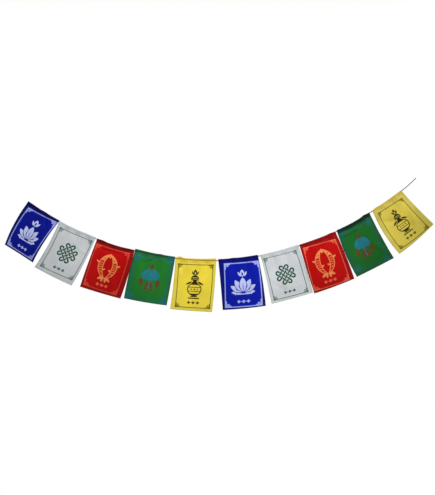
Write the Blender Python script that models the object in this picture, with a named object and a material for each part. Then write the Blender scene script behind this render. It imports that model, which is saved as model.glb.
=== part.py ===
"""A string of ten small printed cloth flags, hung by its two ends.

Each flag is one sheet of thin cloth. Its top edge is turned over the string and sewn down
behind, so the string runs through the hem. The string sags between the two ends that hold it,
and every flag hangs a little differently.

X runs to the right along the string, Z is up, and the printed faces look along -Y.
The origin is the free right end of the string.
"""

import math
from collections import namedtuple

import bmesh
import bpy
from mathutils import Vector

MM = 0.001

# String, in millimetres
STRING_DIAMETER = 1.2
STRING_POINTS = 80
STRING_ROUNDNESS = 2
STRING_COLOUR = (0.020, 0.020, 0.022)
STRING_ROUGHNESS = 0.8

# The string's centre line seen from the front, left end to right end, in millimetres: (x, z)
STRING_ROUTE = (
    (-776.0, -47.5),
    (-746.0, -68.2),
    (-714.0, -87.3),
    (-678.0, -105.5),
    (-639.0, -121.5),
    (-601.0, -135.6),
    (-563.0, -144.8),
    (-522.0, -154.0),
    (-480.0, -160.3),
    (-439.0, -164.0),
    (-398.0, -165.0),
    (-356.0, -162.0),
    (-314.0, -155.8),
    (-274.0, -147.0),
    (-234.0, -135.5),
    (-197.0, -122.5),
    (-159.0, -106.8),
    (-125.0, -89.8),
    (-90.0, -67.8),
    (-60.0, -47.8),
    (-31.0, -27.0),
    (-15.0, -14.0),
    (0.0, 0.0),
)
ROUTE_STEPS = 24

# Cloth, in millimetres; the sheet is measured at the middle of its thickness
CLOTH_THICKNESS = 1.0
CLOTH_ROUGHNESS = 0.65
CLOTH_COLOURS = {
    "blue": (0.008, 0.014, 0.30),
    "white": (0.58, 0.60, 0.62),
    "red": (0.48, 0.008, 0.010),
    "green": (0.02, 0.19, 0.045),
    "yellow": (0.80, 0.62, 0.06),
}

# Hem, in millimetres
FOLD_RADIUS = 1.5
HEM_DEPTH = 8.0
HEM_LAYERS_APART = 1.7
PUCKER_WIDTH = 6.0

# Gathers that the string draws into the cloth just under the hem, in millimetres
GATHER_PITCH = 24.0
GATHER_DEPTH = 0.9
GATHER_FADE = 26.0

# The grid of one flag
COLUMNS = 12
BACK_ROWS = 2
FOLD_ROWS = 5
FRONT_ROWS = 2
BODY_ROWS = 8

# One row for each flag, left to right. Lengths are in millimetres and leans in degrees.
# start, width: the stretch of string that its hem takes up, from the string's left end
# left_*, right_*: its side edges; a lean or a bow to the right is positive
# foot_sag: how far the middle of the bottom edge hangs below its corners
# belly: how far the middle of the lower cloth stands behind its sides
# left_curl, right_curl: how far the bottom corners stand behind the string
# phase: where the gathers start, in turns
# pucker_at, pucker: a loose loop of hem that stands above the string
Flag = namedtuple(
    "Flag",
    "cloth start width left_lean left_drop left_bow right_lean right_drop right_bow"
    " foot_sag belly left_curl right_curl phase pucker_at pucker",
)
FLAGS = (
    Flag("blue", 1.0, 71.8, -27.8, 97, -3.6, -33.6, 96, -2.8, 0, 9, -9, -12, 0.10, 40, 0.6),
    Flag("white", 73.6, 80.4, -27.9, 102, 3.4, -27.5, 104, -1.0, 1, -4, 3, -6, 0.45, 60, 0.5),
    Flag("red", 157.6, 77.2, -19.5, 100, -0.8, -16.6, 99, 1.4, 1, 5, -7, 2, 0.80, 12, 0.8),
    Flag("green", 236.2, 81.8, -13.0, 98, -1.4, -10.0, 96, -0.6, 1, -5, 2, -5, 0.25, 52, 0.7),
    Flag("yellow", 319.8, 82.0, -5.7, 101, 1.0, -4.7, 102, 1.2, 1, 4, -5, -3, 0.60, 9, 3.4),
    Flag("blue", 404.6, 79.8, 6.1, 99, 0.4, 9.4, 101, 2.2, 1, -5, 4, -6, 0.05, 30, 0.6),
    Flag("white", 490.8, 78.6, 12.8, 97, 1.0, 17.2, 96, 1.0, 1, 4, -3, 5, 0.35, 20, 0.5),
    Flag("red", 571.6, 76.4, 17.6, 98, -0.6, 21.9, 98, 1.0, 1, -4, 3, -6, 0.70, 66, 0.8),
    Flag("green", 652.0, 74.8, 23.4, 98, -2.2, 28.0, 101, -1.4, 1, 6, -7, -4, 0.15, 62, 1.6),
    Flag("yellow", 733.2, 71.0, 32.7, 98, -4.4, 44.5, 90, 0.0, 3, 7, -5, -20, 0.50, 10, 1.0),
)


def clear_scene():
    """Removes whatever the scene holds."""
    for obj in list(bpy.data.objects):
        bpy.data.objects.remove(obj, do_unlink=True)


def smooth_curve(route, steps):
    """Points of a smooth curve that passes through every point of the route."""
    points = [Vector(p) for p in route]
    points.insert(0, 2 * points[0] - points[1])
    points.append(2 * points[-1] - points[-2])
    curve = []
    for before, start, end, after in zip(points, points[1:], points[2:], points[3:]):
        for step in range(steps):
            t = step / steps
            bend = 2 * before - 5 * start + 4 * end - after
            twist = 3 * start - before - 3 * end + after
            curve.append(start + 0.5 * (t * (end - before) + t**2 * bend + t**3 * twist))
    curve.append(points[-2])
    return curve


class HangingString:
    """The string's centre line, read by the length from its left end, in millimetres."""

    def __init__(self, route):
        self.points = smooth_curve(route, ROUTE_STEPS)
        self.lengths = [0.0]
        for start, end in zip(self.points, self.points[1:]):
            self.lengths.append(self.lengths[-1] + (end - start).length)

    @property
    def length(self):
        return self.lengths[-1]

    def at(self, distance):
        """The point (x, z) at this distance along the string."""
        for i, end in enumerate(self.lengths[1:]):
            if distance <= end:
                start = self.lengths[i]
                return self.points[i].lerp(self.points[i + 1], (distance - start) / (end - start))
        return self.points[-1].copy()


def from_plumb(lean):
    """The direction (x, z) that leans this many degrees to the right of straight down."""
    angle = math.radians(lean)
    return Vector((math.sin(angle), -math.cos(angle)))


def side_edge(top, lean, drop, bow, part):
    """A point of a side edge, at this part of the way down."""
    down = from_plumb(lean)
    to_the_right = Vector((-down.y, down.x))
    return top + down * drop * part + to_the_right * bow * 4 * part * (1 - part)


def face_point(flag, string, across, part):
    """A point of the cloth seen from the front: across the flag, and this part of the way down."""
    top_left = string.at(flag.start)
    top_right = string.at(flag.start + flag.width)
    left = side_edge(top_left, flag.left_lean, flag.left_drop, flag.left_bow, part)
    right = side_edge(top_right, flag.right_lean, flag.right_drop, flag.right_bow, part)
    hang = string.at(flag.start + flag.width * across) - top_left.lerp(top_right, across)
    foot = Vector((0.0, -flag.foot_sag * 4 * across * (1 - across)))
    return left.lerp(right, across) + hang * (1 - part) + foot * part**2


def ease(part):
    """Rises smoothly from 0 to 1 as the part does."""
    part = min(max(part, 0.0), 1.0)
    return part * part * (3 - 2 * part)


def stand_off(flag, across, part, drop):
    """How far the cloth there stands behind the string's own plane."""
    below = ease(part)
    belly = flag.belly * 4 * across * (1 - across) * below
    corners = (flag.left_curl * (1 - across) ** 2 + flag.right_curl * across**2) * below
    depth = drop * part
    gathers = GATHER_DEPTH * math.sin(math.tau * (flag.width * across / GATHER_PITCH + flag.phase))
    fade = ease(depth / HEM_DEPTH) * math.exp(-max(depth - HEM_DEPTH, 0.0) / GATHER_FADE)
    return belly + corners + gathers * fade


def pucker_lift(flag, across):
    """How far the fold of the hem stands higher than it needs to."""
    away = (flag.width * across - flag.pucker_at) / PUCKER_WIDTH
    return flag.pucker * math.exp(-(away**2))


def cloth_rows(drop):
    """The rows of one flag as (depth, angle round the fold or None, side).

    They run from the free edge of the hem behind, over the string, to the bottom edge.
    The side is 1 behind the string and -1 in front of it.
    """
    rows = [(HEM_DEPTH * (1 - row / BACK_ROWS), None, 1) for row in range(BACK_ROWS)]
    rows += [(0.0, math.pi * row / FOLD_ROWS, 0) for row in range(FOLD_ROWS + 1)]
    rows += [(HEM_DEPTH * row / FRONT_ROWS, None, -1) for row in range(1, FRONT_ROWS + 1)]
    body = drop - HEM_DEPTH
    rows += [(HEM_DEPTH + body * row / BODY_ROWS, None, -1) for row in range(1, BODY_ROWS + 1)]
    return rows


def cloth_point(flag, string, across, row):
    """The place of one point of the cloth, in millimetres."""
    depth, angle, side = row
    drop = (flag.left_drop + flag.right_drop) / 2
    part = depth / drop
    x, z = face_point(flag, string, across, part)
    behind = stand_off(flag, across, part, drop)
    if angle is None:
        close = ease(depth / HEM_DEPTH)
        half_gap = FOLD_RADIUS + (HEM_LAYERS_APART / 2 - FOLD_RADIUS) * close
        return Vector((x, behind + side * half_gap, z))
    below = face_point(flag, string, across, HEM_DEPTH / drop)
    up = (Vector((x, z)) - below).normalized()
    rise = (FOLD_RADIUS + pucker_lift(flag, across)) * math.sin(angle)
    return Vector((x + up.x * rise, FOLD_RADIUS * math.cos(angle), z + up.y * rise))


def principled(name, colour, roughness):
    """A material with this colour and roughness."""
    material = bpy.data.materials.new(name)
    material.use_nodes = True
    shader = material.node_tree.nodes["Principled BSDF"]
    shader.inputs["Base Color"].default_value = (*colour, 1.0)
    shader.inputs["Roughness"].default_value = roughness
    shader.inputs["Metallic"].default_value = 0.0
    return material


def build_flag(number, flag, string, material):
    """One flag, as a sheet that Solidify gives its thickness."""
    drop = (flag.left_drop + flag.right_drop) / 2
    mesh = bpy.data.meshes.new(f"flag_{number:02d}_{flag.cloth}")
    sheet = bmesh.new()
    grid = [
        [
            sheet.verts.new(cloth_point(flag, string, column / COLUMNS, row) * MM)
            for column in range(COLUMNS + 1)
        ]
        for row in cloth_rows(drop)
    ]
    for upper, lower in zip(grid, grid[1:]):
        for column in range(COLUMNS):
            corners = (upper[column], lower[column], lower[column + 1], upper[column + 1])
            sheet.faces.new(corners)
    sheet.to_mesh(mesh)
    sheet.free()
    mesh.materials.append(material)
    mesh.shade_smooth()
    obj = bpy.data.objects.new(mesh.name, mesh)
    bpy.context.collection.objects.link(obj)
    solid = obj.modifiers.new("cloth_thickness", "SOLIDIFY")
    solid.thickness = CLOTH_THICKNESS * MM
    solid.offset = 0.0
    solid.use_even_offset = True
    return obj


def build_string(string, material):
    """The string, as a round tube along its whole length."""
    curve = bpy.data.curves.new("string", "CURVE")
    curve.dimensions = "3D"
    curve.bevel_depth = STRING_DIAMETER / 2 * MM
    curve.bevel_resolution = STRING_ROUNDNESS
    curve.use_fill_caps = True
    spline = curve.splines.new("POLY")
    spline.points.add(STRING_POINTS - 1)
    for i, point in enumerate(spline.points):
        x, z = string.at(string.length * i / (STRING_POINTS - 1))
        point.co = (x * MM, 0.0, z * MM, 1.0)
    curve.materials.append(material)
    obj = bpy.data.objects.new("string", curve)
    bpy.context.collection.objects.link(obj)
    return obj


def main():
    clear_scene()
    string = HangingString(STRING_ROUTE)
    build_string(string, principled("string", STRING_COLOUR, STRING_ROUGHNESS))
    cloths = {
        name: principled(f"{name}_cloth", colour, CLOTH_ROUGHNESS)
        for name, colour in CLOTH_COLOURS.items()
    }
    for number, flag in enumerate(FLAGS, start=1):
        build_flag(number, flag, string, cloths[flag.cloth])


main()
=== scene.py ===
# %% [markdown]
# # A string of printed prayer flags
# Ten small flags of thin polyester hang from one twisted string. Each flag is printed on one
# side, its top edge is turned over the string, and stitches close the hem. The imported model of
# the same string is loaded first, and the string and the flags made below take the places of its
# solids.

import math

import bpy
import numpy as np
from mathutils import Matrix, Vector


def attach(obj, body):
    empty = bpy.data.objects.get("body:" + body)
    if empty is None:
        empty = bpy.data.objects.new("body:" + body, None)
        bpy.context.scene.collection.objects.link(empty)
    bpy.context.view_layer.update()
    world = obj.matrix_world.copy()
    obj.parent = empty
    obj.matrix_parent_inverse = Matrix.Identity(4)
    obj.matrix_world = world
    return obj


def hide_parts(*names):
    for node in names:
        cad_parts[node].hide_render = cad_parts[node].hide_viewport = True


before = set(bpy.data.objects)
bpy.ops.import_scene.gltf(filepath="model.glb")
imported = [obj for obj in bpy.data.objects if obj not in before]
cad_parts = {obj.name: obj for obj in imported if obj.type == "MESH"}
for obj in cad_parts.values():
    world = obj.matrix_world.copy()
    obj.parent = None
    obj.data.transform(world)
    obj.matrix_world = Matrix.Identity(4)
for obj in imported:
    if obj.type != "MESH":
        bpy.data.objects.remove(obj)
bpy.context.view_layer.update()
MM = 0.001


def add_object(name, data):
    """An object at the origin that holds this data."""
    obj = bpy.data.objects.new(name, data)
    bpy.context.collection.objects.link(obj)
    return obj


print("nodes:", ", ".join(sorted(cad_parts)))

# %% [markdown]
# ## Where the picture is taken from
# A long lens keeps the ten flags free of perspective, as a catalogue picture does. The camera
# looks level along +Y. Its distance and its lens are worked out from the width of cloth and air
# that the picture spans, so that the flags fall where they should in a tall frame.

# %% Set up the camera
VIEW_WIDTH = 0.870
VIEW_CENTRE = (-0.3968, -0.1386)
PICTURE_SIZE = (435, 495)
CAMERA_DISTANCE = 4.2
SENSOR_WIDTH = 36.0


def add_camera():
    """A level camera whose frame spans VIEW_WIDTH at the string's plane."""
    data = bpy.data.cameras.new("camera")
    data.sensor_fit = "HORIZONTAL"
    data.sensor_width = SENSOR_WIDTH
    data.lens = SENSOR_WIDTH * CAMERA_DISTANCE / VIEW_WIDTH
    data.clip_end = 50.0
    camera = add_object("camera", data)
    camera.location = (VIEW_CENTRE[0], -CAMERA_DISTANCE, VIEW_CENTRE[1])
    camera.rotation_euler = (math.pi / 2, 0.0, 0.0)
    bpy.context.scene.camera = camera
    print(f"camera: lens {data.lens:.0f} mm, {CAMERA_DISTANCE} m away")


add_camera()

# %% [markdown]
# ## The string's route
# A string held at both ends sags in a smooth curve. Its route is a short list of places read
# along it, and a Catmull-Rom curve joins them without corners. Everything else is placed by the
# length along this curve, so the flags follow whatever the string does.

# %% Read the string's route as a smooth curve
STRING_ROUTE = (
    (-776.0, -47.5), (-746.0, -68.2), (-714.0, -87.3), (-678.0, -105.5),
    (-639.0, -121.5), (-601.0, -135.6), (-563.0, -144.8), (-522.0, -154.0),
    (-480.0, -160.3), (-439.0, -164.0), (-398.0, -165.0), (-356.0, -162.0),
    (-314.0, -155.8), (-274.0, -147.0), (-234.0, -135.5), (-197.0, -122.5),
    (-159.0, -106.8), (-125.0, -89.8), (-90.0, -67.8), (-60.0, -47.8),
    (-31.0, -27.0), (-15.0, -14.0), (0.0, 0.0),
)
ROUTE_STEPS = 24


def smooth_curve(route, steps):
    """Points of a smooth curve that passes through every point of the route."""
    points = np.array(route, dtype=float)
    first = 2 * points[0] - points[1]
    last = 2 * points[-1] - points[-2]
    points = np.vstack([first, points, last])
    part = np.arange(steps)[:, None] / steps
    curve = []
    for before, start, end, after in zip(points, points[1:], points[2:], points[3:]):
        bend = 2 * before - 5 * start + 4 * end - after
        twist = 3 * start - before - 3 * end + after
        curve.append(start + 0.5 * (part * (end - before) + part**2 * bend + part**3 * twist))
    curve.append(points[-2:-1])
    return np.vstack(curve)


ROUTE_POINTS = smooth_curve(STRING_ROUTE, ROUTE_STEPS)
ROUTE_LENGTHS = np.concatenate(
    [[0.0], np.cumsum(np.linalg.norm(np.diff(ROUTE_POINTS, axis=0), axis=1))]
)


def on_string(distance):
    """Places (x, z) at these distances along the string, in millimetres."""
    x = np.interp(distance, ROUTE_LENGTHS, ROUTE_POINTS[:, 0])
    z = np.interp(distance, ROUTE_LENGTHS, ROUTE_POINTS[:, 1])
    return np.stack([x, z], axis=-1)


# %% [markdown]
# ## How each flag hangs
# No two flags hang alike: one leans out, the next swings in, the corners curl to the front or
# the back. Three tables have a row for each flag, in millimetres and degrees: its outline, its
# depth, and the strength of its dye, its painted shade and its print. One formula turns the rows
# into a sheet. That is easier to adjust than ten meshes shaped by hand, and it keeps every flag on
# its solid.

# %% Describe the flags
OUTLINE_COLUMNS = (
    "cloth start width left_lean left_drop left_bow right_lean right_drop right_bow foot_sag"
).split()
OUTLINES = (
    ("blue", 0.0, 73.4, -27.9, 96.7, -3.6, -32.0, 96.0, -2.8, 0.6),
    ("white", 74.2, 80.0, -28.7, 102.8, 2.8, -26.8, 105.0, 2.2, 1),
    ("red", 157.6, 78.4, -19.5, 100.6, -0.8, -16.4, 100.2, 2.0, 1),
    ("green", 236.8, 82.0, -13.0, 97.6, -1.4, -10.0, 95.8, 0.2, 1),
    ("yellow", 319.8, 81.4, -6.1, 101.8, 1.0, -4.7, 102.8, 1.0, 1),
    ("blue", 405.4, 80.2, 5.1, 99.2, 0.4, 8.7, 100.2, 1.6, 1),
    ("white", 490.8, 78.6, 12.8, 98.4, 1.0, 17.2, 97.4, 1.0, 1),
    ("red", 571.2, 76.8, 17.3, 100.2, -0.6, 21.9, 100.4, 1.6, 1),
    ("green", 651.4, 74.8, 23.4, 99.2, -2.8, 28.2, 102.2, -1.4, 1),
    ("yellow", 733.2, 71.0, 32.0, 101.0, -4.4, 43.0, 91.2, -1.2, 3.8),
)
DEPTH_COLUMNS = "belly left_curl right_curl phase pucker_at pucker left_loose right_loose".split()
DEPTHS = (
    (9, -9, -12, 0.10, 40, 0.6, 0.6, 1.8),
    (-4, 3, -6, 0.45, 60, 0.5, 1.3, 1.3),
    (5, -7, 2, 0.80, 12, 0.8, 0.2, 0.0),
    (-5, 2, -5, 0.25, 52, 0.7, 2.8, 1.8),
    (4, -5, -3, 0.60, 9, 3.0, 0.3, 3.4),
    (-5, 4, -6, 0.05, 30, 0.6, 1.8, 1.8),
    (4, -3, 5, 0.35, 20, 0.5, 0.6, 2.0),
    (-4, 3, -6, 0.70, 66, 0.8, 0.9, 0.0),
    (6, -7, -4, 0.15, 62, 1.2, 1.0, 0.2),
    (5, -5, -17, 0.50, 10, 1.0, 0.0, 0.3),
)
# The tone is dye depth and painted shade; the fold and string columns paint shade in the hem.
LOOK_COLUMNS = "tone dark_fold string_shade frame_ink faded".split()
LOOKS = (
    (0.62, 4.6, 0.0, 0.8, 0.0),
    (0.88, 1.0, 0.25, 1.0, 0.02),
    (0.94, 4.2, 0.3, 0.5, 0.0),
    (1.0, 1.5, 0.6, 1.0, 0.0),
    (1.0, 1.6, 0.7, 1.0, 0.0),
    (1.0, 3.4, 0.3, 1.0, 0.0),
    (1.0, 1.2, 0.2, 1.0, 0.0),
    (1.0, 1.4, 0.0, 0.95, 0.0),
    (0.70, 8.5, 0.2, 0.55, 0.0),
    (0.71, 2.0, 0.15, 1.0, 0.05),
)
FLAGS = [
    dict(zip(OUTLINE_COLUMNS + DEPTH_COLUMNS + LOOK_COLUMNS, outline + depth + look))
    for outline, depth, look in zip(OUTLINES, DEPTHS, LOOKS)
]
for flag in FLAGS:
    flag["drop"] = (flag["left_drop"] + flag["right_drop"]) / 2
print("flags:", ", ".join(flag["cloth"] for flag in FLAGS))

# %% [markdown]
# ## The cloth's face
# Seen from the front, a flag is a patch between four edges: the string above, two side edges
# that lean and bow, and a bottom edge that sags a little. Blending opposite edges gives every
# point between them. The same blend places the print later, because it keeps each point's place
# on the flat cloth.

# %% Place a point of the cloth as seen from the front
def side_edge(top, lean, drop, bow, part):
    """Places along a side edge, at these parts of the way down."""
    angle = math.radians(lean)
    down = np.array([math.sin(angle), -math.cos(angle)])
    to_the_right = np.array([-down[1], down[0]])
    bulge = 4 * part * (1 - part) * bow
    return top + down * (drop * part)[..., None] + to_the_right * bulge[..., None]


def face_place(flag, across, part):
    """Places (x, z) on the cloth: across the flag, and this part of the way down."""
    top_left = on_string(flag["start"])
    top_right = on_string(flag["start"] + flag["width"])
    left = side_edge(top_left, flag["left_lean"], flag["left_drop"], flag["left_bow"], part)
    right = side_edge(top_right, flag["right_lean"], flag["right_drop"], flag["right_bow"], part)
    across, part = across[..., None], part[..., None]
    string = on_string(flag["start"] + flag["width"] * across[..., 0])
    hang = string - (top_left * (1 - across) + top_right * across)
    foot = np.array([0.0, -1.0]) * flag["foot_sag"] * 4 * across * (1 - across)
    return left * (1 - across) + right * across + hang * (1 - part) + foot * part**2


# %% [markdown]
# ## Folds, gathers and creases
# Thin polyester keeps the soft creases of its packing, and a string drawn through a hem puckers
# the cloth under it. These could come from a cloth simulation, but a simulation would also pull
# the flags away from the outline they should have. Here each is a small height added to the
# sheet: the broad bend first, then the gathers, then creases placed one by one.

# %% Add the cloth's depth
HEM_DEPTH = 8.0
GATHER_PITCH = 24.0
GATHER_DEPTH = 0.9
GATHER_FADE = 26.0
FINE_PITCH = 7.3
FINE_DEPTH = 0.28
FINE_FADE = 9.0
UNEVENNESS = 0.6
UNEVEN_LENGTH = 9.0
WANDER = 0.3
WANDER_LENGTH = 11.0
EDGE_CURL = 0.5
EDGE_CURL_LENGTH = 7.0
EDGE_CURL_WIDTH = 0.05
CREASE_STRENGTH = 1.6
CREASE_WANDER = 0.06
CREASES = {
    1: ((52, 12, 62, 26, 3.0, 1.1), (20, 58, 80, 60, 7.0, -1.2)),
    2: ((38, 50, 88, 90, 4.0, 0.5), (62, 30, 20, 34, 3.5, -0.5)),
    3: ((30, 14, 8, 48, 3.0, 0.8), (48, 64, 74, 60, 6.0, -0.8)),
    4: ((34, 13, 150, 30, 3.0, 0.9), (52, 66, 96, 70, 6.0, 0.9)),
    5: ((12, 14, 70, 18, 2.6, 1.0), (44, 56, 90, 80, 5.0, -0.5)),
    6: ((26, 15, 100, 20, 3.0, 0.8), (58, 52, 84, 74, 6.0, 0.8)),
    7: ((40, 50, 92, 90, 4.0, -0.5), (22, 70, 30, 40, 5.0, 0.6)),
    8: ((60, 13, 172, 32, 3.0, 0.8), (30, 60, 100, 66, 6.0, 0.8)),
    9: ((22, 12, 12, 44, 3.0, -0.9), (60, 60, 80, 70, 6.0, -0.8)),
    10: ((24, 40, 48, 50, 4.5, 0.8), (52, 66, 120, 54, 5.0, -0.9)),
}


def ease(part):
    """Rises smoothly from 0 to 1 as the part does."""
    part = np.clip(part, 0.0, 1.0)
    return part * part * (3 - 2 * part)


def bell(distance, width):
    """1 at no distance, and next to nothing beyond the width."""
    return np.exp(-((distance / width) ** 2))


def crease_height(number, x, y):
    """How far the creases of one flag push the cloth back."""
    height = np.zeros_like(x)
    for middle_x, middle_y, lean, length, width, depth in CREASES[number]:
        angle = math.radians(lean)
        along = (x - middle_x) * math.cos(angle) + (y - middle_y) * math.sin(angle)
        aside = (y - middle_y) * math.cos(angle) - (x - middle_x) * math.sin(angle)
        wander = CREASE_WANDER * length * np.sin(along / length * 5 + number)
        height += depth * bell(aside - wander, width) * bell(along, length / 2)
    return height


def stand_off(number, flag, across, depth):
    """How far the cloth there stands behind the string's own plane."""
    below = ease(depth / flag["drop"])
    belly = flag["belly"] * 4 * across * (1 - across) * below
    corners = (flag["left_curl"] * (1 - across) ** 2 + flag["right_curl"] * across**2) * below
    x = flag["width"] * across
    wave = np.sin(math.tau * (x / GATHER_PITCH + flag["phase"]))
    hem = ease(depth / HEM_DEPTH)
    past_hem = np.maximum(depth - HEM_DEPTH, 0.0)
    gathers = GATHER_DEPTH * wave * hem * np.exp(-past_hem / GATHER_FADE)
    uneven = 1 + UNEVENNESS * np.sin(x / UNEVEN_LENGTH + number)
    wander = WANDER * np.sin(x / WANDER_LENGTH + number)
    fine_wave = np.sin(math.tau * (x / FINE_PITCH + wander))
    fine = FINE_DEPTH * uneven * fine_wave * hem * np.exp(-past_hem / FINE_FADE)
    creases = crease_height(number, x, depth) * hem
    at_edges = bell(across, EDGE_CURL_WIDTH) + bell(1 - across, EDGE_CURL_WIDTH)
    edges = EDGE_CURL * np.sin(depth / EDGE_CURL_LENGTH + number) * at_edges * hem
    return belly + corners + gathers + fine + CREASE_STRENGTH * creases + edges


# %% [markdown]
# ## The sheet and its hem
# The cloth is one strip. It starts at the raw edge behind, rises over the string in a half
# circle, comes down in front and runs on to the bottom edge. The two layers meet where the
# stitches hold them. The sheet is built at the middle of its thickness, and Solidify gives it
# the thickness of real polyester.

# %% Build one flag's sheet
FLAG_WIDTH = 82.0
FLAT_DROP = 100.0
MAP_SIZE = 100.0
CLOTH_THICKNESS = 0.25
FOLD_RADIUS = 1.25
PUCKER_WIDTH = 6.0
STITCH_DEPTH = 6.8
LAYERS_AT_STITCHES = 0.34
LAYERS_AT_RAW_EDGE = 0.75
COLUMNS = 72
BACK_ROWS = 10
FOLD_ROWS = 10
FRONT_ROWS = 10
BODY_ROWS = 84


def half_gap(depth):
    """Half the distance between the layers of the hem."""
    closing = ease(depth / STITCH_DEPTH)
    opening = ease((depth - STITCH_DEPTH) / (HEM_DEPTH - STITCH_DEPTH))
    stitched = FOLD_RADIUS + (LAYERS_AT_STITCHES / 2 - FOLD_RADIUS) * closing
    return stitched + (LAYERS_AT_RAW_EDGE - LAYERS_AT_STITCHES) / 2 * opening


def cloth_rows(drop):
    """The strip's rows as arrays: depth below the string, and turn round it."""
    behind = np.linspace(HEM_DEPTH, 0.0, BACK_ROWS, endpoint=False)
    fold = np.zeros(FOLD_ROWS + 1)
    front = np.linspace(0.0, HEM_DEPTH, FRONT_ROWS + 1)[1:]
    body = np.linspace(HEM_DEPTH, drop, BODY_ROWS + 1)[1:]
    depth = np.concatenate([behind, fold, front, body])
    turn = np.where(np.arange(len(depth)) < BACK_ROWS, 0.0, math.pi)
    turn[BACK_ROWS : BACK_ROWS + FOLD_ROWS + 1] = np.linspace(0.0, math.pi, FOLD_ROWS + 1)
    return depth, turn


def cloth_points(number, flag, across, depth, turn):
    """Points of the cloth in millimetres; the turn is 0 behind the string and pi before it."""
    place = face_place(flag, across, depth / flag["drop"])
    under = face_place(flag, across, np.full_like(across, HEM_DEPTH / flag["drop"]))
    over = face_place(flag, across, np.zeros_like(across))
    up = (over - under) / np.linalg.norm(over - under, axis=-1, keepdims=True)
    pucker = flag["pucker"] * bell(flag["width"] * across - flag["pucker_at"], PUCKER_WIDTH)
    loose = flag["left_loose"] * (1 - across) + flag["right_loose"] * across
    rise = (FOLD_RADIUS + pucker + loose) * np.sin(turn)
    seen = place + up * rise[..., None]
    away = stand_off(number, flag, across, depth) + half_gap(depth) * np.cos(turn)
    return np.stack([seen[..., 0], away, seen[..., 1]], axis=-1)


def flat_place(flag, across, depth, turn):
    """Places on the flat cloth in millimetres, from its middle line and down from the fold."""
    over = FOLD_RADIUS * (turn - math.pi / 2)
    down = np.where(turn < math.pi / 2, over - depth, over + depth)
    scale = FLAT_DROP / (flag["drop"] + FOLD_RADIUS * math.pi / 2)
    return np.stack([(across - 0.5) * FLAG_WIDTH, down * scale], axis=-1)


def flag_sheet(number, flag):
    """The grid of one flag, and each point's place on the flat cloth in millimetres."""
    row_depth, row_turn = cloth_rows(flag["drop"])
    across, depth = np.meshgrid(np.linspace(0, 1, COLUMNS + 1), row_depth)
    turn = np.repeat(row_turn[:, None], COLUMNS + 1, axis=1)
    points = cloth_points(number, flag, across, depth, turn)
    return points, flat_place(flag, across, depth, turn)


def quads(rows, columns):
    """Corner indices of a grid's faces, wound so that the printed side faces outwards."""
    index = np.arange(rows * columns).reshape(rows, columns)
    corners = (index[:-1, :-1], index[1:, :-1], index[1:, 1:], index[:-1, 1:])
    return np.stack(corners, axis=-1).reshape(-1, 4)


print(f"one flag's grid: {COLUMNS} by {BACK_ROWS + FOLD_ROWS + FRONT_ROWS + BODY_ROWS} faces")

# %% [markdown]
# ## Where each print lies
# The prints were laid down by hand, a little askew and not quite alike. The four corners of each
# frame are noted where the picture shows them, in pixels from its upper left, and a short search
# finds where on the cloth they lie. A map through those four places then carries the rest of the
# print, and nothing has to be moved by eye when a flag's outline changes.

# %% Find each print's place on its cloth
PRINT_HALF_WIDTH = 35.0
PRINT_HALF_HEIGHT = 43.0
FRAME_CORNERS_SEEN = (
    ((28.5, 207.8), (56.8, 222.4), (7.8, 244.0), (32.0, 259.5)),
    ((60.5, 227.5), (92.2, 241.1), (40.5, 265.7), (72.0, 279.8)),
    ((96.8, 243.7), (129.7, 253.3), (83.7, 284.2), (115.9, 295.0)),
    ((136.8, 255.7), (171.6, 259.4), (128.0, 295.5), (163.7, 303.0)),
    ((178.6, 263.8), (213.2, 265.0), (175.3, 306.3), (209.5, 308.5)),
    ((224.2, 263.8), (258.1, 261.0), (225.5, 307.5), (262.2, 304.6)),
    ((263.8, 258.8), (295.8, 250.4), (274.2, 300.2), (308.1, 291.5)),
    ((303.3, 248.0), (335.0, 239.1), (314.5, 290.9), (349.3, 279.3)),
    ((341.3, 233.7), (368.6, 220.7), (357.5, 270.1), (388.3, 259.0)),
    ((378.2, 213.3), (401.7, 198.3), (400.7, 248.8), (427.8, 227.3)),
)
SEARCH_ROUNDS = 8
SEARCH_STEP = 0.0001


def seen_place(pixel):
    """Where in the string's plane a pixel of the picture lies, in millimetres."""
    from_middle = (pixel - np.array(PICTURE_SIZE) / 2) * (1, -1)
    return (np.array(VIEW_CENTRE) + from_middle * VIEW_WIDTH / PICTURE_SIZE[0]) / MM


def place_on_cloth(flag, seen):
    """How far across and what part of the way down a flag shows each of these places."""
    across, part = np.full((2, len(seen)), 0.5)
    for _ in range(SEARCH_ROUNDS):
        here = face_place(flag, across, part)
        sideways = face_place(flag, across + SEARCH_STEP, part) - here
        downwards = face_place(flag, across, part + SEARCH_STEP) - here
        slopes = np.stack([sideways, downwards], axis=-1) / SEARCH_STEP
        step = np.linalg.solve(slopes, (seen - here)[..., None])[..., 0]
        across, part = across + step[:, 0], part + step[:, 1]
    return across, part


def bilinear_terms(places):
    """The four terms of a map that keeps straight print nearly straight."""
    x, y = places[..., 0], places[..., 1]
    return np.stack([np.ones_like(x), x, y, x * y], axis=-1)


def print_places(number, flag, flat):
    """Each point's place on the print, with 0 in the middle of its frame and up as plus."""
    across, part = place_on_cloth(flag, seen_place(np.array(FRAME_CORNERS_SEEN[number - 1])))
    corners = bilinear_terms(flat_place(flag, across, part * flag["drop"], math.pi))
    signs = np.array([(-1, 1), (1, 1), (-1, -1), (1, -1)])
    printed = signs * (PRINT_HALF_WIDTH, PRINT_HALF_HEIGHT)
    return bilinear_terms(flat) @ np.linalg.solve(corners, printed)


across, part = place_on_cloth(FLAGS[0], seen_place(np.array(FRAME_CORNERS_SEEN[0])))
print("first frame: across the cloth at", across.round(3), "and down it at", part.round(3))

# %% [markdown]
# ## Sums with sockets
# A print is easiest to describe with distances: how far is this spot of cloth from a disc, a
# petal or a line? Shader nodes can work that out, but a long chain of Math nodes is hard to
# read. A small class wraps a socket and lets Python's operators add the nodes, so the formulas
# below look like formulas. The trees that twist the string and sew the hems use it too.

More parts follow.
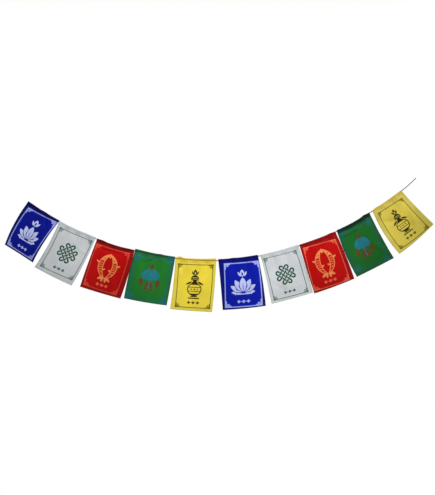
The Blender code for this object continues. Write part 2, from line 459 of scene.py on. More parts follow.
# %% Wrap a socket
class Value:
    """A node's output that Python's operators work on."""

    def __init__(self, nodes, socket):
        self.nodes = nodes
        self.socket = socket

    def math(self, operation, *others, clamp=False):
        """A Math node on this value and the others."""
        settings = {"operation": operation, "use_clamp": clamp}
        return self.nodes.node("ShaderNodeMath", settings, dict(enumerate((self, *others))))

    def beside(self, name):
        """Another output of the same node."""
        return Value(self.nodes, self.socket.node.outputs[name])

    def __add__(self, other):
        return self.math("ADD", other)

    def __sub__(self, other):
        return self.math("SUBTRACT", other)

    def __rsub__(self, other):
        return self.math("MULTIPLY_ADD", -1.0, other)

    def __mul__(self, other):
        return self.math("MULTIPLY", other)

    def __truediv__(self, other):
        return self.math("DIVIDE", other)

    def __neg__(self):
        return self * -1.0

    def __abs__(self):
        return self.math("ABSOLUTE")


class Nodes:
    """A node tree that grows by one node at a time."""

    def __init__(self, tree):
        self.tree = tree

    def node(self, kind, settings=None, sockets=None, output=0):
        """Add a node: its settings first, then the values or links of its sockets."""
        node = self.tree.nodes.new(kind)
        for setting, value in (settings or {}).items():
            setattr(node, setting, value)
        for socket, value in (sockets or {}).items():
            self.feed(node.inputs[socket], value)
        return Value(self, node.outputs[output])

    def feed(self, socket, value):
        """Link a value to a socket, or set the socket to a plain number, colour or material."""
        if isinstance(value, Value):
            self.tree.links.new(value.socket, socket)
        else:
            socket.default_value = value

    def vector_math(self, operation, sockets, output=0):
        """A Vector Math node."""
        return self.node("ShaderNodeVectorMath", {"operation": operation}, sockets, output)

    def combine(self, x, y, z=0.0):
        """A vector of three values."""
        return self.node("ShaderNodeCombineXYZ", None, {"X": x, "Y": y, "Z": z})


class Finish(Nodes):
    """A material that is being made: its nodes, and its shader."""

    def __init__(self, name, constants):
        self.material = bpy.data.materials.new(name)
        self.material.use_nodes = True
        super().__init__(self.material.node_tree)
        self.shader = self.tree.nodes["Principled BSDF"]
        for socket, value in constants.items():
            self.shader.inputs[socket].default_value = value

    def set(self, name, value):
        """Feed one of the shader's own sockets."""
        self.feed(self.shader.inputs[name], value)

    def mix(self, mask, under, over):
        """One colour over another, as far as the mask lets it."""
        return self.node("ShaderNodeMix", {"data_type": "RGBA"}, {0: mask, 6: under, 7: over}, 2)

    def noise(self, **sockets):
        """Noise that follows the object."""
        place = self.node("ShaderNodeTexCoord", None, None, "Object")
        return self.node("ShaderNodeTexNoise", None, {"Vector": place, **sockets})


# %% [markdown]
# ## Shapes on the flat cloth
# Every shape is a signed distance: less than nothing inside, more outside. The lower of two
# distances joins their shapes and the higher keeps what they share. A petal is what two discs
# share. A whole picture of petals, discs and strokes needs no image file, and it stays sharp at
# any distance.

# %% Measure distances to simple shapes
def hypotenuse(x, y):
    """The length of a vector with these two sides."""
    return x.nodes.vector_math("LENGTH", {0: x.nodes.combine(x, y)}, "Value")


def joined(first, *others):
    """The distance to any of these shapes."""
    for other in others:
        first = first.math("MINIMUM", other)
    return first


def shared(first, *others):
    """The distance to what all of these shapes share."""
    for other in others:
        first = first.math("MAXIMUM", other)
    return first


def disc(x, y, centre, radius):
    """The distance to a round spot."""
    return hypotenuse(x - centre[0], y - centre[1]) - radius


def box(x, y, centre, half_size):
    """The distance to a box with sharp corners."""
    return shared(abs(x - centre[0]) - half_size[0], abs(y - centre[1]) - half_size[1])


def outline(distance, half_width):
    """The distance to a line drawn along the edge of a shape."""
    return abs(distance) - half_width


def turned(x, y, root, lean):
    """How far a spot is aside of and along an axis that leans so many degrees to the right."""
    sine, cosine = math.sin(math.radians(lean)), math.cos(math.radians(lean))
    x, y = x - root[0], y - root[1]
    return x * cosine - y * sine, x * sine + y * cosine


def petal(x, y, root, lean, length, half_width):
    """The distance to a petal with a pointed root and a pointed tip."""
    aside, along = turned(x, y, root, lean)
    half = length / 2
    radius = (half**2 + half_width**2) / (2 * half_width)
    return hypotenuse(abs(aside) + (radius - half_width), along - half) - radius


def stroke(x, y, start, end, half_width):
    """The distance to a line with round ends."""
    length = math.dist(start, end)
    lean = math.degrees(math.atan2(end[0] - start[0], end[1] - start[1]))
    aside, along = turned(x, y, start, lean)
    beyond = shared(abs(along - length / 2) - length / 2, 0.0)
    return hypotenuse(aside, beyond) - half_width


# %% [markdown]
# ## Inks and dyes
# Each cloth is dyed and then printed with one bold ink, except the green one, whose two inks
# have run a little. The margin outside the frame is a little darker than the middle. Most hems
# are painted darker still, as painted shade where the cloth lies double and is turned over the
# string. All colours are written as a paint program shows them, and one function turns them into
# the linear light that a shader counts in.

# %% Choose the colours and the frame of each cloth
def paint(red, green, blue):
    """A linear colour from the 0 to 255 of a paint program."""
    parts = [level / 255 for level in (red, green, blue)]
    linear = [p / 12.92 if p < 0.04045 else ((p + 0.055) / 1.055) ** 2.4 for p in parts]
    return (*linear, 1.0)


def blend(first, second, share):
    """The first colour with a share of the second in it."""
    return tuple(a + (b - a) * share for a, b in zip(first, second))


PICTURE_RISE = 2.0
EDGE = 0.4
# The hem and fold colours are painted shade of the double hem, its turned top and rolled edges.
COLOUR_COLUMNS = "dye margin hem fold line ink".split()
COLOURS = {
    "blue": (
        (2, 22, 162), (3, 10, 112), (5, 14, 144),
        (0, 2, 72), (166, 178, 244), (188, 198, 240),
    ),
    "white": (
        (206, 209, 212), (202, 207, 208), (203, 208, 213),
        (186, 190, 194), (68, 102, 88), (30, 80, 60),
    ),
    "red": (
        (190, 2, 2), (158, 6, 10), (144, 2, 10),
        (72, 0, 2), (235, 105, 75), (240, 140, 80),
    ),
    "green": (
        (28, 116, 38), (32, 102, 58), (40, 116, 64),
        (6, 40, 20), (34, 104, 140), (34, 116, 150),
    ),
    "yellow": (
        (234, 212, 64), (222, 206, 78), (234, 203, 54),
        (212, 172, 48), (92, 78, 22), (50, 40, 10),
    ),
}
PRINT_COLUMNS = "margin_edge line_width line_edge line_strength corner_strength foot_shade".split()
PRINTS = {
    "blue": (3.0, 2.0, 0.5, 0.9, 0.95, 0.1),
    "white": (3.0, 1.5, 0.5, 0.9, 0.75, 0.1),
    "red": (3.0, 1.5, 0.5, 0.9, 0.85, 0.28),
    "green": (16.0, 1.2, 6.0, 0.3, 0.42, 0.18),
    "yellow": (3.0, 1.6, 0.5, 0.9, 0.8, 0.08),
}
SECOND_INKS = {"green": (104, 44, 34)}
CLOTHS = {name: dict(zip(PRINT_COLUMNS, row)) for name, row in PRINTS.items()}
for name, cloth in CLOTHS.items():
    cloth.update(zip(COLOUR_COLUMNS, (paint(*levels) for levels in COLOURS[name])))
    if name in SECOND_INKS:
        cloth["second_ink"] = paint(*SECOND_INKS[name])
BLACK = paint(0, 0, 0)
FADED_COLOURS = {"margin", "hem", "fold", "line", "ink", "second_ink"}
SOAKED_THROUGH = 0.45


def seen_from_behind(cloth):
    """The same cloth as its bare side shows it: the ink has soaked through, but faintly."""
    faded = dict(cloth)
    for name in FADED_COLOURS & cloth.keys():
        faded[name] = blend(cloth["dye"], cloth[name], SOAKED_THROUGH)
    return faded


print("cloths:", ", ".join(CLOTHS))

# %% [markdown]
# ## Printing a cloth
# A printer lays down the dye, the frame with its corners and then the picture. The material
# does the same, and each shape repaints the colour so far wherever its distance is below
# nothing. A wide edge lets a colour bleed as it does on the green cloth.

# %% Carry the colour from one shape to the next
class Spot:
    """A spot on the flat cloth, and the colour that has been printed there so far."""

    def __init__(self, finish, cloth):
        self.finish = finish
        self.cloth = cloth
        self.colour = cloth["dye"]
        self.bare = self.toned_and_shaded(self.colour)
        self.cloth_x, self.cloth_y = self.map_places("cloth", MAP_SIZE / 2, MAP_SIZE)
        self.x, self.y = self.map_places("print", MAP_SIZE / 2, MAP_SIZE / 2 + PICTURE_RISE)
        self.from_middle = abs(self.x)

    def map_places(self, name, left, bottom):
        """Millimetres along and up one of the cloth's two maps."""
        place = self.finish.node("ShaderNodeUVMap", {"uv_map": name})
        across = self.finish.node("ShaderNodeSeparateXYZ", None, {0: place}, "X")
        return across * MAP_SIZE - left, across.beside("Y") * MAP_SIZE - bottom

    def attribute(self, name):
        """A number that each flag carries."""
        return self.finish.node("ShaderNodeAttribute", {"attribute_name": name}, None, "Fac")

    def toned_and_shaded(self, colour):
        """The colour as deep as this flag's tone makes it: partly its dye, partly painted shade.
        """
        return self.finish.mix(self.attribute("tone"), BLACK, colour)

    def fill(self, distance, colour, edge=EDGE, strength=1.0):
        """Paint a shape in a colour, with an edge that is this many millimetres wide."""
        mask = distance.math("MULTIPLY_ADD", -1.0 / edge, 0.5, clamp=True) * strength
        self.colour = self.finish.mix(mask, self.colour, colour)


def print_ground(spot):
    """The margin outside the frame, then painted shade in the hem, along the string and the edges.
    """
    cloth = spot.cloth
    middle = (0.0, -PICTURE_RISE)
    inside = box(spot.x, spot.y, middle, (PRINT_HALF_WIDTH, PRINT_HALF_HEIGHT))
    spot.fill(-inside, cloth["margin"], cloth["margin_edge"])
    from_fold = abs(spot.cloth_y)
    # Painted shade: the hem is darker where the cloth lies double.
    spot.fill(from_fold - HEM_DEPTH, cloth["hem"], edge=1.6, strength=0.6)
    # Painted shade where the hem turns over the string, as far down as each flag asks.
    dark_fold = spot.attribute("dark_fold")
    spot.fill(from_fold - dark_fold, cloth["fold"], edge=6.0, strength=0.9)
    # Painted shade: a dark line where the string inside the hem shows through.
    from_string = abs(from_fold - FOLD_RADIUS * math.pi / 2)
    spot.fill(from_string - 0.5, BLACK, 0.8, spot.attribute("string_shade"))
    # Painted shade along the side edges, where the cloth rolls.
    from_edge = FLAG_WIDTH / 2 - abs(spot.cloth_x)
    spot.fill(from_edge - 1.2, cloth["fold"], edge=2.0, strength=0.55)
    # The tone: the depth of the flag's dye, and painted shade where less light reaches it.
    spot.colour = spot.toned_and_shaded(spot.colour)
    return inside


def print_label(spot):
    """A row of three lozenges with a dot between them, low down in the frame."""
    x, y = spot.from_middle, spot.y + 33.0 + PICTURE_RISE
    middle = (x + abs(y)) * 0.7 - 2.4
    outer = (abs(x - 9.2) + abs(y)) * 0.7 - 2.4
    dots = disc(x, y, (4.6, 0.0), 0.9)
    spot.fill(joined(middle, outer, dots), spot.cloth["line"], edge=0.6)


# %% [markdown]
# ## The frame and its corners
# A thin line frames each picture, and every corner holds a small ornament. All four corners are
# one drawing, since a spot's distance from the nearest corner is the same in each. The blue and
# the red cloths have a stepped fret there, the white and the yellow ones a fan of three leaves,
# and the green one a quarter disc whose ink has run.

# %% Draw the frame line and the corner ornaments
def stepped_fret(x, y):
    """A stair that climbs round a corner, with an angle of bare cloth inside it."""
    stair = joined(
        box(x, y, (5.8, 1.4), (5.8, 1.4)),
        box(x, y, (4.1, 3.1), (4.1, 3.1)),
        box(x, y, (1.4, 5.8), (1.4, 5.8)),
    )
    angle = joined(box(x, y, (4.9, 3.0), (1.8, 0.3)), box(x, y, (3.0, 4.9), (0.3, 1.8)))
    return shared(stair, -angle)


def leaf_fan(x, y):
    """A quarter disc with three leaves round it."""
    seed = disc(x, y, (1.0, 1.0), 2.6)
    middle = petal(x, y, (2.0, 2.0), 45, 6.4, 1.5)
    upright = petal(x, y, (0.9, 2.6), 8, 6.6, 1.3)
    lying = petal(x, y, (2.6, 0.9), 82, 6.6, 1.3)
    return joined(seed, middle, upright, lying)


def soft_quarter(x, y):
    """A quarter disc that has bled into the cloth."""
    return disc(x, y, (1.6, 1.6), 7.2)


CORNERS = {
    "blue": stepped_fret,
    "white": leaf_fan,
    "red": stepped_fret,
    "green": soft_quarter,
    "yellow": leaf_fan,
}


def print_frame(spot, name, inside):
    """The frame's line, and the same ornament in its four corners."""
    cloth = spot.cloth
    edge = cloth["line_edge"]
    ink = spot.attribute("frame_ink")
    line = outline(inside, cloth["line_width"] / 2)
    from_side = PRINT_HALF_WIDTH - spot.from_middle
    from_end = PRINT_HALF_HEIGHT - abs(spot.y + PICTURE_RISE)
    corner = CORNERS[name](from_side, from_end)
    spot.fill(line, cloth["line"], edge, ink * cloth["line_strength"])
    spot.fill(corner, cloth["line"], edge, ink * cloth["corner_strength"])


# %% [markdown]
# ## The blue cloth's lotus
# A lotus under a flame jewel is one of the old good-luck signs, drawn here from pointed petals.
# The petals are laid down from the outermost inwards, and each is ringed with bare cloth, so
# that they seem to overlap. Only the right half is drawn, because the distance from the middle
# line mirrors it.

# %% Print the lotus
LOTUS_PETALS = (
    ((3.0, -17.5), 88, 20, 3.4),
    ((4.0, -16.5), 58, 24, 4.6),
    ((2.0, -16.0), 30, 27, 5.5),
    ((0.0, -16.0), 0, 28, 6.5),
)


def print_lotus(spot):
    """Seven petals on a base line, with a jewel above them."""
    x, y = spot.from_middle, spot.y
    bare, ink = spot.bare, spot.cloth["ink"]
    for root, lean, length, half_width in LOTUS_PETALS:
        leaf = petal(x, y, root, lean, length, half_width)
        vein = petal(x, y, root, lean, length * 0.62, 0.7)
        spot.fill(leaf - 1.1, bare)
        spot.fill(leaf, ink)
        spot.fill(vein, bare)
    base = joined(stroke(x, y, (0, -20.5), (12, -20.5), 0.9), disc(x, y, (15.5, -20.5), 1.2))
    jewel = petal(x, y, (0, 13.5), 0, 14, 4.2)
    flames = petal(x, y, (3.4, 14.0), 30, 11, 1.9)
    spot.fill(joined(base, jewel, flames), ink)
    spot.fill(petal(x, y, (0, 15.5), 0, 7, 1.8), bare)


# %% [markdown]
# ## The white cloth's endless knot
# The endless knot is two pairs of long loops that pass over and under each other. Measured along
# its diagonals, each pair is one outline, and the product of two sine waves is positive at one
# crossing and negative at the next, which tells which pair lies on top there.

# %% Print the endless knot
LOOP_HALF_LENGTH = 13.0
LOOP_APART = 5.8
LOOP_RADIUS = 2.9
CORD_HALF_WIDTH = 1.4
CORD_GAP = 0.6


def pair_of_loops(along, aside):
    """The distance to two long loops that lie side by side."""
    past_end = shared(abs(along) - LOOP_HALF_LENGTH, 0.0)
    loops = hypotenuse(past_end, abs(aside) - LOOP_APART) - LOOP_RADIUS
    return outline(loops, CORD_HALF_WIDTH)


def print_knot(spot):
    """Two pairs of loops, woven over and under."""
    along, aside = turned(spot.x * 0.88, spot.y * 0.88, (0, 0), 45)
    first, second = pair_of_loops(along, aside), pair_of_loops(aside, along)
    turn = math.pi / LOOP_APART
    waves = (along * turn).math("SINE") * (aside * turn).math("SINE")
    first_on_top = waves.math("GREATER_THAN", 0.0)
    gap = CORD_GAP
    with_first = joined(first, shared(second, gap - first))
    with_second = joined(second, shared(first, gap - second))
    knot = with_second + (with_first - with_second) * first_on_top
    spot.fill(knot, spot.cloth["ink"])


# %% [markdown]
# ## The red cloth's pair of fish
# Two fish stand nose up and face each other. A body is the sliver between two large discs. Below
# the head it is hollowed out to an outline and filled with rows of scales, which are arcs that
# repeat at an even step.

# %% Print the pair of fish
def print_fish(spot):
    """A pair of fish, nose up, mirrored on the middle line."""
    x, y = spot.from_middle * 0.98, spot.y * 0.98 - 1.0
    bare, ink = spot.bare, spot.cloth["ink"]
    body = shared(disc(x, y, (-7.5, 3), 26.5), -disc(x, y, (-30, 3), 38.5))
    tail = joined(petal(x, y, (3.2, -18.5), 128, 12, 2.4), petal(x, y, (3.2, -18.5), 178, 11, 2.2))
    fins = joined(petal(x, y, (17.0, 6.0), 60, 8, 1.7), petal(x, y, (9.0, -6.0), -62, 7, 1.5))
    spot.fill(joined(body, tail, fins), ink)
    belly = shared(body + 1.7, y - 13.0)
    spot.fill(belly, bare)
    step = 4.4
    curve = y + abs(x - 13.0) * 0.5
    rows = curve.math("PINGPONG", step / 2) - 0.75
    spot.fill(shared(rows, belly + 0.9), ink)
    spot.fill(disc(x, y, (9.4, 17.4), 1.3), bare)
    pearl = petal(x, y, (0, 20.0), 0, 9, 2.6)
    spot.fill(pearl, ink)


# %% [markdown]
# ## The green cloth's parasol
# The inks of the green cloth have run into the dye, so its picture is soft and low in contrast:
# a blue parasol with a dark red tip and ribbons. It is made of the same shapes as the others,
# with a far wider edge.

# %% Print the parasol
GREEN_EDGE = 2.8
GREEN_STRENGTH = 0.85


def print_parasol(spot):
    """A parasol with ribs, a scalloped rim, a pole and ribbons."""
    x, y = spot.from_middle, spot.y
    ink, red = spot.cloth["ink"], spot.cloth["second_ink"]
    dome = shared(disc(x, y, (0, 0), 18), -y)
    rim = joined(disc(x, y, (3.6, -1), 3.6), disc(x, y, (10.8, -1), 3.6))
    spot.fill(joined(dome, rim), ink, GREEN_EDGE, GREEN_STRENGTH)
    ribs = joined(
        stroke(x, y, (0.0, 18.0), (6.0, 0.0), 0.5),
        stroke(x, y, (0.5, 18.0), (12.6, 0.0), 0.5),
        stroke(x, y, (0.0, 1.2), (18.0, 1.2), 0.5),
    )
    spot.fill(ribs, spot.bare, 1.2, 0.8)
    pole = stroke(x, y, (0, -5), (0, -22), 1.1)
    spot.fill(pole, ink, GREEN_EDGE, GREEN_STRENGTH)
    tip = joined(petal(x, y, (0, 17), 0, 12, 3.4), disc(x, y, (0, 18.5), 2.2))
    ribbons = joined(
        petal(x, y, (13.6, -3.0), 170, 18, 2.8),
        petal(x, y, (14.5, -3.0), 140, 12, 2.2),
        petal(x, y, (1.6, -7.0), 164, 17, 3.0),
        petal(x, y, (0.5, -21.0), 118, 11, 2.2),
    )
    spot.fill(joined(tip, ribbons), red, GREEN_EDGE, GREEN_STRENGTH)


# %% [markdown]
# ## The yellow cloth's treasure vase
# A lidded vase stands on a foot and carries a flame jewel. The body is an ellipse, and a disc
# measured in squeezed coordinates makes one. The scarf round its neck falls in two petals.

# %% Print the treasure vase
def print_vase(spot):
    """A vase on a foot, with a lid, a scarf and a jewel."""
    x, y = spot.from_middle * 0.86, spot.y * 0.86
    bare, ink = spot.bare, spot.cloth["ink"]
    body = disc(x * 0.92, y, (0, -7), 11.5)
    neck = box(x, y, (0, 6.0), (3.6, 3.0))
    collar = joined(
        stroke(x, y, (0, 9.2), (6.2, 9.2), 0.9), stroke(x, y, (0, 4.6), (4.6, 4.6), 0.9)
    )
    lid = shared(disc(x, y, (0, 10.2), 7.0), 10.6 - y)
    foot = joined(
        stroke(x, y, (0, -19.4), (5.0, -19.4), 1.0), stroke(x, y, (0, -22.6), (9.0, -22.6), 1.0)
    )
    scarf = petal(x, y, (4.2, 6.4), 118, 13, 1.6)
    jewel = petal(x, y, (0, 16.4), 0, 11, 2.8)
    flames = petal(x, y, (2.4, 17.0), 26, 8, 1.2)
    spot.fill(joined(body, neck, collar, lid, foot, jewel, flames), ink)
    spot.fill(shared(body + 1.5, abs(y + 7.0) - 7.6), bare)
    bands = joined(
        stroke(x, y, (0, -3.6), (9.8, -3.6), 0.6), stroke(x, y, (0, -10.6), (9.6, -10.6), 0.6)
    )
    spot.fill(bands, ink)
    spot.fill(joined(disc(x, y, (0, -7.1), 1.3), disc(x, y, (5.2, -7.1), 1.1)), ink)
    spot.fill(scarf - 0.8, bare)
    spot.fill(scarf, ink)
    spot.fill(joined(petal(x, y, (0, 18.2), 0, 5, 1.0), box(x, y, (0, 12.8), (4.4, 0.45))), bare)


PICTURES = {
    "blue": print_lotus,
    "white": print_knot,
    "red": print_fish,
    "green": print_parasol,
    "yellow": print_vase,
}

# %% [markdown]
# ## The cloth itself
# The flags are thin woven polyester. Its threads are far too fine for the camera to see, but
# they keep the cloth from looking like paper when it is seen close up. A low bump of crossing
# threads follows the flat cloth, and a broad noise makes the dye a little uneven and adds faint
# painted shade, as of small wrinkles. Each cloth is painted darker towards its foot as painted
# shade, as if less light reached it there, and some have lost a little of their colour.

# %% Make the front and the back of each cloth
THREAD_PITCH = 0.36
THREAD_HEIGHT = 0.022 * MM
CLOTH_CONSTANTS = {"Roughness": 0.7, "Specular IOR Level": 0.1}
PATCH_SCALE = 28.0
PATCH_STRENGTH = 0.4
PATCH_BASE = 0.8
TOP_LIGHT = 1.03


def weave_height(spot):
    """Threads that rise over each other in turn, in metres."""
    turn = math.pi / THREAD_PITCH
    warp = (spot.cloth_x * turn).math("SINE")
    weft = (spot.cloth_y * turn).math("SINE")
    return warp * weft * THREAD_HEIGHT


def printed_cloth(name, behind=False):
    """A material for one side of a printed cloth."""
    cloth = CLOTHS[name]
    if behind:
        cloth = seen_from_behind(cloth)
    finish = Finish(f"{name} cloth, {'bare' if behind else 'printed'} side", CLOTH_CONSTANTS)
    spot = Spot(finish, cloth)
    print_frame(spot, name, print_ground(spot))
    PICTURES[name](spot)
    if name != "green":
        print_label(spot)
    # Painted shade: each cloth darker towards its foot; the noise is uneven dye and faint shade.
    painted_foot_shade = spot.cloth_y * (cloth["foot_shade"] / FLAT_DROP) + TOP_LIGHT
    patches = finish.noise(Scale=PATCH_SCALE, Detail=3.0)
    light = (patches * PATCH_STRENGTH + PATCH_BASE) * painted_foot_shade
    left_in = 1.0 - spot.attribute("faded")
    sockets = {"Color": spot.colour, "Saturation": left_in}
    colour = finish.node("ShaderNodeHueSaturation", None, sockets)
    finish.set("Base Color", finish.vector_math("SCALE", {0: colour, "Scale": light}))
    threads = {"Height": weave_height(spot), "Distance": 1.0, "Strength": 1.0}
    finish.set("Normal", finish.node("ShaderNodeBump", None, threads))
    return finish.material


CLOTH_MATERIALS = {
    name: [printed_cloth(name), printed_cloth(name, behind=True)] for name in CLOTHS
}
for name, sides in CLOTH_MATERIALS.items():
    print(f"{name} cloth: {len(sides[0].node_tree.nodes)} nodes")

# %% [markdown]
# ## Sewing trees
# A node tree in Geometry Nodes is built by the script, one node at a time. A small class adds
# its named inputs and remembers their identifiers, so that the modifier's sizes can be set
# before the tree first runs.

# %% Build node trees for what repeats
class Tree(Nodes):
    """A Geometry Nodes tree with named inputs for its sizes, which are given in millimetres."""

    def __init__(self, name, sizes):
        super().__init__(bpy.data.node_groups.new(name, "GeometryNodeTree"))
        self.sizes = sizes
        self.add_socket("Geometry", "INPUT", "NodeSocketGeometry")
        self.identifiers = {
            label: self.add_socket(label, "INPUT", "NodeSocketFloat") for label in sizes
        }
        self.add_socket("Geometry", "OUTPUT", "NodeSocketGeometry")
        outputs = self.tree.nodes.new("NodeGroupInput").outputs
        self.inputs = {label: Value(self, outputs[label]) for label in ("Geometry", *sizes)}

    def add_socket(self, label, side, kind):
        """A socket on the outside of the tree; returns its identifier."""
        return self.tree.interface.new_socket(label, in_out=side, socket_type=kind).identifier

    def resampled(self):
        """The line that comes in, with a point at each step."""
        sockets = {"Curve": self.inputs["Geometry"], "Length": self.inputs["Step"]}
        return self.node("GeometryNodeResampleCurve", {"mode": "LENGTH"}, sockets)

    def end(self, geometry, material):
        """Make the copies real, give them their material and send them out."""
        real = self.node("GeometryNodeRealizeInstances", None, {"Geometry": geometry})
        sockets = {"Geometry": real, "Material": material}
        dressed = self.node("GeometryNodeSetMaterial", None, sockets)
        self.feed(self.tree.nodes.new("NodeGroupOutput").inputs[0], dressed)

    def run(self, line):
        """Run the tree on an object and return its plain mesh."""
        modifier = line.modifiers.new(self.tree.name, "NODES")
        modifier.node_group = self.tree
        for label, size in self.sizes.items():
            modifier[self.identifiers[label]] = size * MM
        mesh = plain_mesh(line)
        bpy.data.objects.remove(line)
        return mesh


def plain_mesh(obj):
    """The object's mesh with its modifiers applied."""
    graph = bpy.context.evaluated_depsgraph_get()
    return bpy.data.meshes.new_from_object(obj.evaluated_get(graph), depsgraph=graph)


def curve_object(name, lines):
    """A curve object with a straight-segment spline through each line of points."""
    data = bpy.data.curves.new(name, "CURVE")
    data.dimensions = "3D"
    for points in lines:
        spline = data.splines.new("POLY")
        spline.points.add(len(points) - 1)
        spline.points.foreach_set("co", np.hstack([points, np.ones((len(points), 1))]).ravel())
    return add_object(name, data)


# %% [markdown]
# ## The string
# The string is a thin dark grey cord of three twisted strands. One strand would be easy to
# sweep, so the tree makes three copies of the route, winds each round the middle line at a third
# of a turn from the next, and gives each a round section.

# %% Twist the string
STRAND_RADIUS = 0.46
STRAND_OFFSET = 0.42
TWIST_PITCH = 4.2
STRAND_STEP = 0.7
STRANDS = 3


def string_material():
    """Dark grey cotton with a little unevenness along it."""
    finish = Finish("grey string", {"Roughness": 0.85, "Specular IOR Level": 0.2})
    patches = finish.noise(Scale=900.0)
    mask = (patches - 0.3).math("MULTIPLY", 2.0, clamp=True)
    finish.set("Base Color", finish.mix(mask, paint(12, 12, 14), paint(34, 34, 36)))
    return finish.material


def string_tree(material):
    """Three strands wound round a line."""
    sizes = {"Strand radius": STRAND_RADIUS, "Offset": STRAND_OFFSET, "Pitch": TWIST_PITCH}
    tree = Tree("twisted string", {**sizes, "Step": STRAND_STEP})
    sockets = {"Geometry": tree.resampled(), "Amount": STRANDS}
    copies = tree.node("GeometryNodeDuplicateElements", {"domain": "SPLINE"}, sockets)
    length = tree.node("GeometryNodeSplineParameter", output="Length")
    turns = length / tree.inputs["Pitch"] + copies.beside("Duplicate Index") / float(STRANDS)
    angle = turns * math.tau
    tangent = tree.node("GeometryNodeInputTangent")
    across = tree.vector_math("CROSS_PRODUCT", {0: tangent, 1: (0.0, 1.0, 0.0)})
    upwards = tree.vector_math("SCALE", {0: across, "Scale": angle.math("SINE")})
    backwards = tree.combine(0.0, angle.math("COSINE"))
    around = tree.vector_math("ADD", {0: upwards, 1: backwards})
    offset = tree.vector_math("SCALE", {0: around, "Scale": tree.inputs["Offset"]})
    wound = tree.node("GeometryNodeSetPosition", None, {"Geometry": copies, "Offset": offset})
    sockets = {"Resolution": 6, "Radius": tree.inputs["Strand radius"]}
    section = tree.node("GeometryNodeCurvePrimitiveCircle", None, sockets)
    sockets = {"Curve": wound, "Profile Curve": section, "Fill Caps": True}
    strands = tree.node("GeometryNodeCurveToMesh", None, sockets)
    tree.end(tree.node("GeometryNodeSetShadeSmooth", None, {"Geometry": strands}), material)
    return tree


def add_piece(name, mesh):
    """An object that holds a finished mesh and rides on the root body."""
    obj = add_object(name, mesh)
    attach(obj, "root")
    return obj


middle_line = np.insert(ROUTE_POINTS, 1, 0.0, axis=1) * MM
string_mesh = string_tree(string_material()).run(curve_object("route", [middle_line]))
string = add_piece("twisted_string", string_mesh)
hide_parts("string")
print(f"string: {len(string_mesh.polygons)} faces")

# %% [markdown]
# ## Stitches
# One row of stitches closes each hem. A stitch is a short thread that dips into the cloth at
# both ends, so a stretched ball that is half sunk in the cloth is enough. The tree sets one on
# each step of the seam and turns it along the seam, in front and behind.

# %% Sew the hems
STITCH_STEP = 2.6
STITCH_LENGTH = 1.9
THREAD_WIDTH = 0.34
SEAM_INSET = 0.015
SEAM_POINTS = 160
STITCH_LIFT = 0.04


def thread_material(name):
    """Sewing thread in the colour of the hem, whose darkness is painted shade."""
    finish = Finish(f"{name} thread", {"Roughness": 0.6})
    finish.set("Base Color", blend(CLOTHS[name]["hem"], (1, 1, 1, 1), 0.06))
    return finish.material


def stitch_tree(name):
    """A stretched ball at each step along a seam."""
    sizes = {"Step": STITCH_STEP, "Stitch length": STITCH_LENGTH, "Thread width": THREAD_WIDTH}
    tree = Tree(f"{name} stitches", sizes)
    ball = tree.node("GeometryNodeMeshUVSphere", None, {"Segments": 6, "Rings": 5, "Radius": 0.5})
    tangent = tree.node("GeometryNodeInputTangent")
    turn = tree.node("FunctionNodeAlignRotationToVector", {"axis": "X"}, {"Vector": tangent})
    width = tree.inputs["Thread width"]
    size = tree.combine(tree.inputs["Stitch length"], width, width)
    sockets = {"Points": tree.resampled(), "Instance": ball, "Rotation": turn, "Scale": size}
    sewn = tree.node("GeometryNodeInstanceOnPoints", None, sockets)
    tree.end(sewn, thread_material(name))
    return tree


STITCH_TREES = {name: stitch_tree(name) for name in CLOTHS}


def seam_line(number, flag, turn, side):
    """The seam's points on one face of the hem, in metres."""
    across = np.linspace(SEAM_INSET, 1 - SEAM_INSET, SEAM_POINTS)
    depth = np.full_like(across, STITCH_DEPTH)
    points = cloth_points(number, flag, across, depth, np.full_like(across, turn))
    points[:, 1] += side * (CLOTH_THICKNESS / 2 + STITCH_LIFT)
    return points * MM


def sew_hem(number, flag):
    """The stitches of one flag, on both faces of its hem."""
    seams = [seam_line(number, flag, math.pi, -1), seam_line(number, flag, 0.0, 1)]
    line = curve_object("seam", seams)
    mesh = STITCH_TREES[flag["cloth"]].run(line)
    stitches = add_piece(f"hem_stitches_{number:02d}", mesh)
    return stitches


# %% [markdown]
# ## Ten flags
# Each flag's grid becomes a mesh with two maps, one of the flat cloth and one of its print, and
# with the strengths of its dye, its painted shade and its inks. Solidify gives it two faces and
# puts the bare side's material on the inner one. Each flag takes the place of its solid and hangs
# from the string.


def cloth_mesh(number, flag):
    """A flag's mesh, one face thick, with its maps and its strengths of dye, painted shade and
    ink.
    """
    points, flat = flag_sheet(number, flag)
    rows, columns = points.shape[:2]
    faces = quads(rows, columns)
    mesh = bpy.data.meshes.new(f"flag {number}")
    mesh.from_pydata((points * MM).reshape(-1, 3).tolist(), [], faces.tolist())
    cloth_places = flat / MAP_SIZE * (1, -1) + (0.5, 1.0)
    on_print = print_places(number, flag, flat) / MAP_SIZE + 0.5
    for name, places in (("cloth", cloth_places), ("print", on_print)):
        corners = places.reshape(-1, 2)[faces.ravel()]
        mesh.uv_layers.new(name=name).data.foreach_set("uv", corners.ravel())
    for name in LOOK_COLUMNS:
        attribute = mesh.attributes.new(name, "FLOAT", "POINT")
        attribute.data.foreach_set("value", np.full(rows * columns, flag[name]))
    for material in CLOTH_MATERIALS[flag["cloth"]]:
        mesh.materials.append(material)
    mesh.polygons.foreach_set("use_smooth", np.ones(len(faces), dtype=bool))
    return mesh


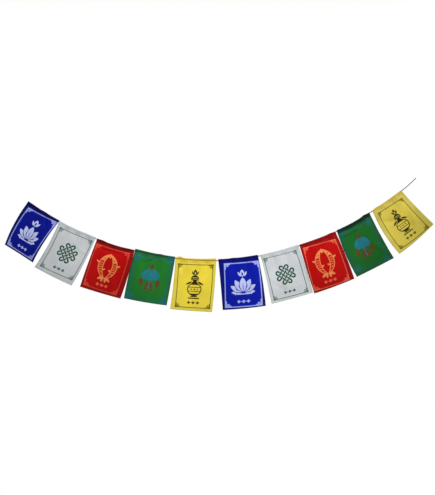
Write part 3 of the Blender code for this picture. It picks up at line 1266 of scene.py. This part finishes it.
def hang_flag(number, flag):
    """One flag with its stitches, in the place of its solid."""
    thin = add_object("thin cloth", cloth_mesh(number, flag))
    thickness = thin.modifiers.new("thickness", "SOLIDIFY")
    thickness.thickness = CLOTH_THICKNESS * MM
    thickness.offset = 0.0
    thickness.use_even_offset = True
    thickness.material_offset = 1
    obj = add_piece(f"cloth_{number:02d}_{flag['cloth']}", plain_mesh(thin))
    bpy.data.objects.remove(thin)
    stitches = sew_hem(number, flag)
    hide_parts(f"flag_{number:02d}_{flag['cloth']}")
    return obj


flags = [hang_flag(number, flag) for number, flag in enumerate(FLAGS, start=1)]
print(f"flags: {len(flags)}, {len(flags[0].data.polygons)} faces each")

# %% [markdown]
# ## Light and ground
# The flags hang in soft, even daylight in front of plain white. A large light above them and
# another from the right shape the folds, a third lights their bare sides, and the white world
# fills the rest. What the camera sees of the world is pure white, but its light on the cloth is
# weaker, so that the colours stay deep. The pale floor lies well below the flags.

# %% Light the scene
FLOOR_HEIGHT = -0.95
FLOOR_CORNERS = ((-1.6, -1.0), (0.8, -1.0), (0.8, 0.9), (-1.6, 0.9))
MIDDLE = (-0.39, 0.0, -0.15)
LIGHTS = (
    ("above the flags", (-0.28, -0.85, 0.85), 0.7, 14.0),
    ("from the right", (1.1, -1.2, 0.7), 0.9, 9.0),
    ("behind", (0.4, 1.8, 1.2), 1.4, 30.0),
)


def add_light(name, place, size, power):
    """A large soft light that points at the middle of the flags."""
    data = bpy.data.lights.new(name, "AREA")
    data.shape = "SQUARE"
    data.size = size
    data.energy = power
    light = add_object(name, data)
    light.location = place
    light.rotation_euler = (Vector(MIDDLE) - Vector(place)).to_track_quat("-Z", "Y").to_euler()
    light.visible_camera = False


def light_world(seen, cast):
    """A white world that is brighter to the camera than to the cloth."""
    world = bpy.data.worlds.new("white studio")
    world.use_nodes = True
    nodes = Nodes(world.node_tree)
    at_camera = nodes.node("ShaderNodeLightPath", None, None, "Is Camera Ray")
    strength = nodes.node("ShaderNodeMix", None, {0: at_camera, 2: cast, 3: seen})
    background = nodes.tree.nodes["Background"]
    nodes.feed(background.inputs["Color"], (1.0, 1.0, 1.0, 1.0))
    nodes.feed(background.inputs["Strength"], strength)
    bpy.context.scene.world = world


def add_floor():
    """A pale floor below the string."""
    mesh = bpy.data.meshes.new("floor")
    mesh.from_pydata([(x, y, FLOOR_HEIGHT) for x, y in FLOOR_CORNERS], [], [(0, 1, 2, 3)])
    finish = Finish("pale floor", {"Base Color": (0.8, 0.8, 0.79, 1.0), "Roughness": 0.7})
    mesh.materials.append(finish.material)
    add_object("floor", mesh)


for row in LIGHTS:
    add_light(*row)
light_world(seen=1.0, cast=0.36)
add_floor()
bpy.context.scene.view_settings.view_transform = "Standard"
print("lights:", ", ".join(row[0] for row in LIGHTS))
